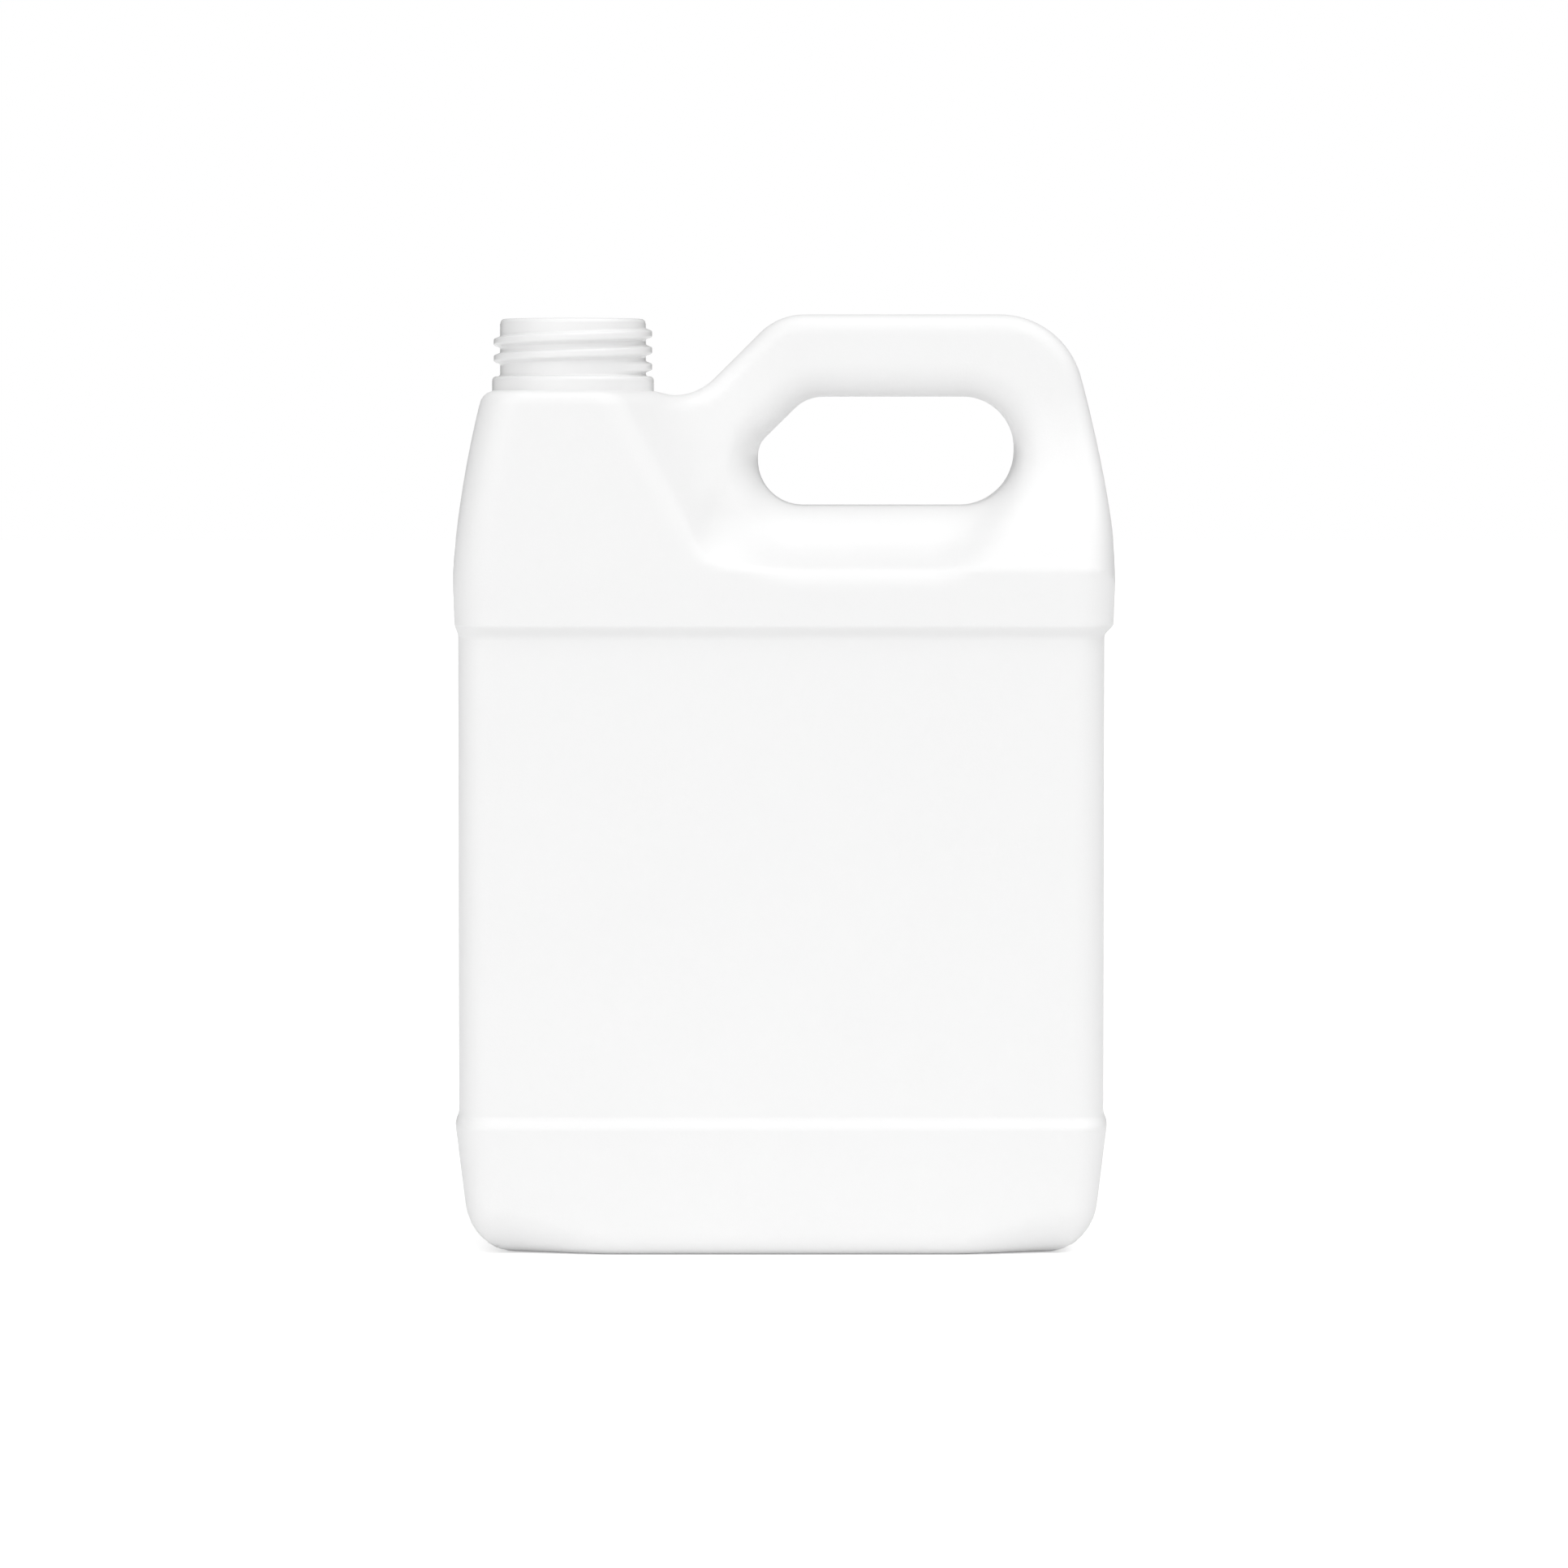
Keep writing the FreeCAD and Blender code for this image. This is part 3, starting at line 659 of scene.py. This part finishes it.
def blow_moulded_hdpe(name, colour, roughness, grain_depth):
    """High-density polyethylene, blown from a drawn tube of melt against a sandblasted mould: an even
    satin white."""
    material = bpy.data.materials.new(name)
    material.use_nodes = True
    tree = material.node_tree
    tree.nodes.clear()
    place = add_node(tree, "ShaderNodeTexCoord").outputs["Object"]
    # Slow swells where the wall shrank unevenly: they bend the soft highlights along the edges
    swells = add_node(tree, "ShaderNodeTexNoise", Vector=place, Scale=1 / SWELL_WIDTH, Detail=1.0)
    relief = add_node(tree, "ShaderNodeBump", Height=swells.outputs["Fac"], Distance=SWELL_DEPTH)
    # Faint upright lines drawn by the die: they give the flat faces a direction
    stretch = (1, 1, DIE_LINE_WIDTH / DIE_LINE_LENGTH)
    drawn = add_node(tree, "ShaderNodeMapping", Vector=place, Scale=stretch)
    lines = add_node(tree, "ShaderNodeTexNoise", Vector=drawn.outputs["Vector"], Scale=1 / DIE_LINE_WIDTH)
    relief = add_node(
        tree, "ShaderNodeBump",
        Height=lines.outputs["Fac"], Distance=DIE_LINE_DEPTH, Normal=relief.outputs["Normal"],
    )
    # Fine sandblast grain: it breaks the gloss into satin
    grain = add_node(tree, "ShaderNodeTexNoise", Vector=place, Scale=1 / GRAIN_SIZE, Detail=3.0)
    relief = add_node(
        tree, "ShaderNodeBump",
        Height=grain.outputs["Fac"], Distance=grain_depth, Normal=relief.outputs["Normal"],
    )
    # Broad clouds of thicker and thinner wall: a barely seen change of white
    clouds = add_node(tree, "ShaderNodeTexNoise", Vector=place, Scale=1 / CLOUD_WIDTH, Detail=2.0)
    full = Vector(linear(colour))
    white = add_node(
        tree, "ShaderNodeMix", {"data_type": "RGBA"},
        i0=clouds.outputs["Fac"], i6=full, i7=full * CLOUD_DARKENING,
    )
    # The standing edge, rubbed duller and greyer by shelves
    height = add_node(tree, "ShaderNodeSeparateXYZ", Vector=place).outputs["Z"]
    rub = add_node(tree, "ShaderNodeMapRange", Value=height, From_Min=RUB_HEIGHT, From_Max=0.0)
    scuffed = add_node(
        tree, "ShaderNodeMath", {"operation": "MULTIPLY"}, i0=rub.outputs["Result"], i1=grain.outputs["Fac"]
    )
    white = add_node(
        tree, "ShaderNodeMix", {"data_type": "RGBA"},
        i0=scuffed.outputs["Value"], i6=white.outputs[2], i7=full * RUB_DARKENING,
    )
    # Patches that took the mould's surface more or less sharply: the satin isn't quite even
    patches = add_node(tree, "ShaderNodeTexNoise", Vector=place, Scale=1 / PATCH_WIDTH, Detail=3.0)
    satin = add_node(
        tree, "ShaderNodeMapRange", Value=patches.outputs["Fac"],
        From_Min=PATCH_CONTRAST[0], From_Max=PATCH_CONTRAST[1],
        To_Min=roughness - PATCH_ROUGHNESS, To_Max=roughness + PATCH_ROUGHNESS,
    )
    satin = add_node(
        tree, "ShaderNodeMath", {"operation": "MULTIPLY_ADD"},
        i0=scuffed.outputs["Value"], i1=RUB_ROUGHNESS, i2=satin.outputs["Result"],
    )
    shader = add_node(
        tree, "ShaderNodeBsdfPrincipled",
        Base_Color=white.outputs[2], Roughness=satin.outputs["Value"],
        IOR=HDPE_IOR, Normal=relief.outputs["Normal"],
    )
    add_node(tree, "ShaderNodeOutputMaterial", Surface=shader.outputs["BSDF"])
    return material


def white_card(name, colour):
    """Matt white card for the floor, with the light added that makes a studio sweep look pure white."""
    material = bpy.data.materials.new(name)
    material.use_nodes = True
    tree = material.node_tree
    tree.nodes.clear()
    place = add_node(tree, "ShaderNodeTexCoord").outputs["Object"]
    # The card's tooth: a fine unevenness in the soft shadow
    tooth = add_node(tree, "ShaderNodeTexNoise", Vector=place, Scale=1 / CARD_TOOTH_SIZE, Detail=2.0)
    relief = add_node(tree, "ShaderNodeBump", Height=tooth.outputs["Fac"], Distance=CARD_TOOTH_DEPTH)
    seen = add_node(tree, "ShaderNodeLightPath").outputs["Is Camera Ray"]
    glow = add_node(
        tree, "ShaderNodeMath", {"operation": "MULTIPLY_ADD"}, i0=seen, i1=FLOOR_SEEN_GLOW, i2=FLOOR_GLOW
    )
    shader = add_node(
        tree, "ShaderNodeBsdfPrincipled",
        Base_Color=linear(colour), Roughness=1.0, Specular_IOR_Level=0.0, Normal=relief.outputs["Normal"],
        Emission_Color=(1, 1, 1, 1), Emission_Strength=glow.outputs["Value"],
    )
    add_node(tree, "ShaderNodeOutputMaterial", Surface=shader.outputs["BSDF"])
    return material


def white_studio(name):
    """A white room lit by large soft patches, that the camera sees as plain white."""
    world = bpy.data.worlds.new(name)
    world.use_nodes = True
    tree = world.node_tree
    tree.nodes.clear()
    place = add_node(tree, "ShaderNodeTexCoord").outputs["Generated"]
    total = None
    for label, direction, inner, outer, brightness in SOFT_LIGHTS:
        toward = add_node(
            tree, "ShaderNodeVectorMath", {"operation": "DOT_PRODUCT", "label": label},
            i0=place, i1=Vector(direction).normalized(),
        )
        patch = add_node(
            tree, "ShaderNodeMapRange", {"interpolation_type": "SMOOTHSTEP"},
            Value=toward.outputs["Value"], From_Min=outer, From_Max=inner, To_Max=brightness,
        ).outputs["Result"]
        before = ROOM_LIGHT if total is None else total
        total = add_node(tree, "ShaderNodeMath", {"operation": "ADD"}, i0=patch, i1=before).outputs["Value"]
    seen = add_node(tree, "ShaderNodeLightPath").outputs["Is Camera Ray"]
    strength = add_node(tree, "ShaderNodeMix", Factor=seen, A=total, B=1.0).outputs["Result"]
    light = add_node(tree, "ShaderNodeBackground", Color=(1, 1, 1, 1), Strength=strength)
    add_node(tree, "ShaderNodeOutputWorld", Surface=light.outputs["Background"])
    return world


class JUG_OT_add_body(bpy.types.Operator):
    """Adds the blown body with its handle, as a thin wall round the hollow inside"""

    bl_idname = "jug.add_body"
    bl_label = "Body and handle"

    def execute(self, context):
        sizes, colours = context.scene.jug_sizes, context.scene.jug_colours
        shells = []
        for growth, spacing in ((0, sizes.outer_spacing), (sizes.wall, sizes.inner_spacing)):
            def form(x, y, z):
                shape = jug_form if growth else moulded_form
                return shape(x, y, z, sizes) + growth

            line = sizes.parting_width
            room = 2 * spacing
            near_line, near_steps = [], []
            if growth == 0:
                near_line = [(-PARTING_LINE_REACH * line, PARTING_LINE_REACH * line, line)]
                for level in (BASE_STEP_HEIGHT, PANEL_TOP_HEIGHT):
                    near_steps.append((level - STEP_REACH, level + STEP_REACH, STEP_SPACING))
            xs = grid_lines(-HALF_WIDTH - room, HALF_WIDTH + room, spacing)
            half_ys = grid_lines(line / 2, HALF_DEPTH + room, spacing, near_line)
            ys = np.concatenate([-half_ys[::-1], half_ys])
            zs = grid_lines(-room, HEIGHT + room, spacing, near_steps)
            vertices, faces = surface_net(form, xs, ys, zs)
            vertices = settle(form, vertices)
            vertices, faces, loop = open_under_neck(vertices, faces)
            normals = slope(form, vertices)
            normals /= np.linalg.norm(normals, axis=1)[:, None]
            shells.append((vertices, faces, loop, normals))
        outer, outer_faces, outer_loop, outer_normals = shells[0]
        inner, inner_faces, inner_loop, inner_normals = shells[1]
        vertices = np.concatenate([outer, inner])
        inner_loop = [k + len(outer) for k in inner_loop]
        ring = bridge(outer_loop, inner_loop, vertices)
        faces = outer_faces.tolist() + (inner_faces[:, ::-1] + len(outer)).tolist() + ring
        normals = np.concatenate([outer_normals, -inner_normals])
        body = add_object("Body_and_handle", vertices, faces, normals)
        finish = "Blow-moulded HDPE, sandblasted mould"
        body.data.materials.append(
            blow_moulded_hdpe(finish, colours.plastic, colours.roughness, GRAIN_DEPTH)
        )
        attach(body, "root")
        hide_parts(NODE)
        return {"FINISHED"}


class JUG_OT_add_neck(bpy.types.Operator):
    """Adds the neck with its bead, screw thread and rim"""

    bl_idname = "jug.add_neck"
    bl_label = "Threaded neck"

    def execute(self, context):
        sizes, colours = context.scene.jug_sizes, context.scene.jug_colours
        seat_low = SHOULDER_HEIGHT - sizes.wall - NECK_SEAT_BELOW_WALL
        seat_high = SHOULDER_HEIGHT - NECK_SEAT_DEPTH
        seat_out = NECK_SEAT + NECK_SEAT_OVERLAP
        corners = [
            (NECK_BORE, seat_low), (NECK_BORE, NECK_TOP), (NECK_ROOT, NECK_TOP), (NECK_ROOT, BEAD_TOP),
            (BEAD_RADIUS, BEAD_TOP), (BEAD_RADIUS, seat_high), (seat_out, seat_high), (seat_out, seat_low),
        ]
        profile = spaced(rounded_path(corners, NECK_ROUNDINGS), NECK_ROW_SPACING)
        even_turns = np.arange(0, 360, NECK_TURN_STEP)
        near_line = np.mod([side + step for side in (0, 180) for step in NECK_LINE_STEPS], 360)
        turns = np.radians(np.unique(np.concatenate([even_turns, near_line])))
        r, z = profile[:, 0][:, None], profile[:, 1][:, None]
        outside = (r > NECK_MIDDLE) & (z > BEAD_TOP)
        grown = r + thread_height(turns[None, :], z, sizes) * outside
        from_line = NECK_ROOT * np.sin(turns[None, :])
        ridge = sizes.parting_height * np.exp(-((from_line / sizes.parting_width) ** 2))
        grown = grown + ridge * (r > NECK_MIDDLE) * (z < NECK_TOP - RIM_ROUNDING)
        x = NECK_X + grown * np.cos(turns)[None, :]
        y = grown * np.sin(turns)[None, :]
        vertices = np.stack([x, y, np.broadcast_to(z, x.shape)], -1).reshape(-1, 3)
        rows, columns = len(profile), len(turns)
        here = np.arange(rows * columns).reshape(rows, columns)
        right, above = np.roll(here, -1, 1), np.roll(here, -1, 0)
        corner = np.roll(right, -1, 0)
        faces = np.stack([here, above, corner, right], -1).reshape(-1, 4)
        neck = add_object("Neck_and_thread", vertices, faces)
        finish = "Blow-moulded HDPE, trimmed neck"
        neck.data.materials.append(
            blow_moulded_hdpe(finish, colours.neck_plastic, colours.neck_roughness, NECK_GRAIN_DEPTH)
        )
        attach(neck, "root")
        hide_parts(NODE)
        return {"FINISHED"}


class JUG_OT_add_stage(bpy.types.Operator):
    """Adds the floor, the lights and the camera"""

    bl_idname = "jug.add_stage"
    bl_label = "Stage"

    def execute(self, context):
        scene = context.scene
        colours = scene.jug_colours
        corners = [(FLOOR_REACH * x, FLOOR_REACH * y, 0) for x, y in ((-1, -1), (1, -1), (1, 1), (-1, 1))]
        floor = add_object("Floor", corners, [(0, 1, 2, 3)])
        floor.data.materials.append(white_card("White card, matt", colours.floor))
        scene.world = white_studio("White studio, soft lights")
        camera = bpy.data.objects.new("Camera", bpy.data.cameras.new("Camera"))
        camera.location = (0, -CAMERA_DISTANCE, CAMERA_HEIGHT)
        camera.rotation_euler.x = math.pi / 2 - math.atan2(CAMERA_HEIGHT - AIM_HEIGHT, CAMERA_DISTANCE)
        camera.data.sensor_width = SENSOR_WIDTH
        camera.data.lens = SENSOR_WIDTH * CAMERA_DISTANCE / VIEW_WIDTH
        scene.collection.objects.link(camera)
        scene.camera = camera
        scene.view_settings.view_transform = "Standard"
        return {"FINISHED"}


class JUG_PT_panel(bpy.types.Panel):
    """Lists the pieces and their sizes"""

    bl_label = "Jug"
    bl_space_type = "VIEW_3D"
    bl_region_type = "UI"
    bl_category = "Jug"

    def draw(self, context):
        for settings in (context.scene.jug_sizes, context.scene.jug_colours):
            for name in settings.__annotations__:
                self.layout.prop(settings, name)
        for operator in OPERATORS:
            self.layout.operator(operator.bl_idname)


OPERATORS = (JUG_OT_add_body, JUG_OT_add_neck, JUG_OT_add_stage)
CLASSES = (JugSizes, JugColours, *OPERATORS, JUG_PT_panel)


def register():
    for cls in CLASSES:
        bpy.utils.register_class(cls)
    bpy.types.Scene.jug_sizes = PointerProperty(type=JugSizes)
    bpy.types.Scene.jug_colours = PointerProperty(type=JugColours)


def unregister():
    del bpy.types.Scene.jug_colours
    del bpy.types.Scene.jug_sizes
    for cls in reversed(CLASSES):
        bpy.utils.unregister_class(cls)


def main():
    """Builds the jug and its stage."""
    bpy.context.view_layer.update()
    register()
    bpy.ops.jug.add_body()
    bpy.ops.jug.add_neck()
    bpy.ops.jug.add_stage()


if __name__ == "__main__":
    main()
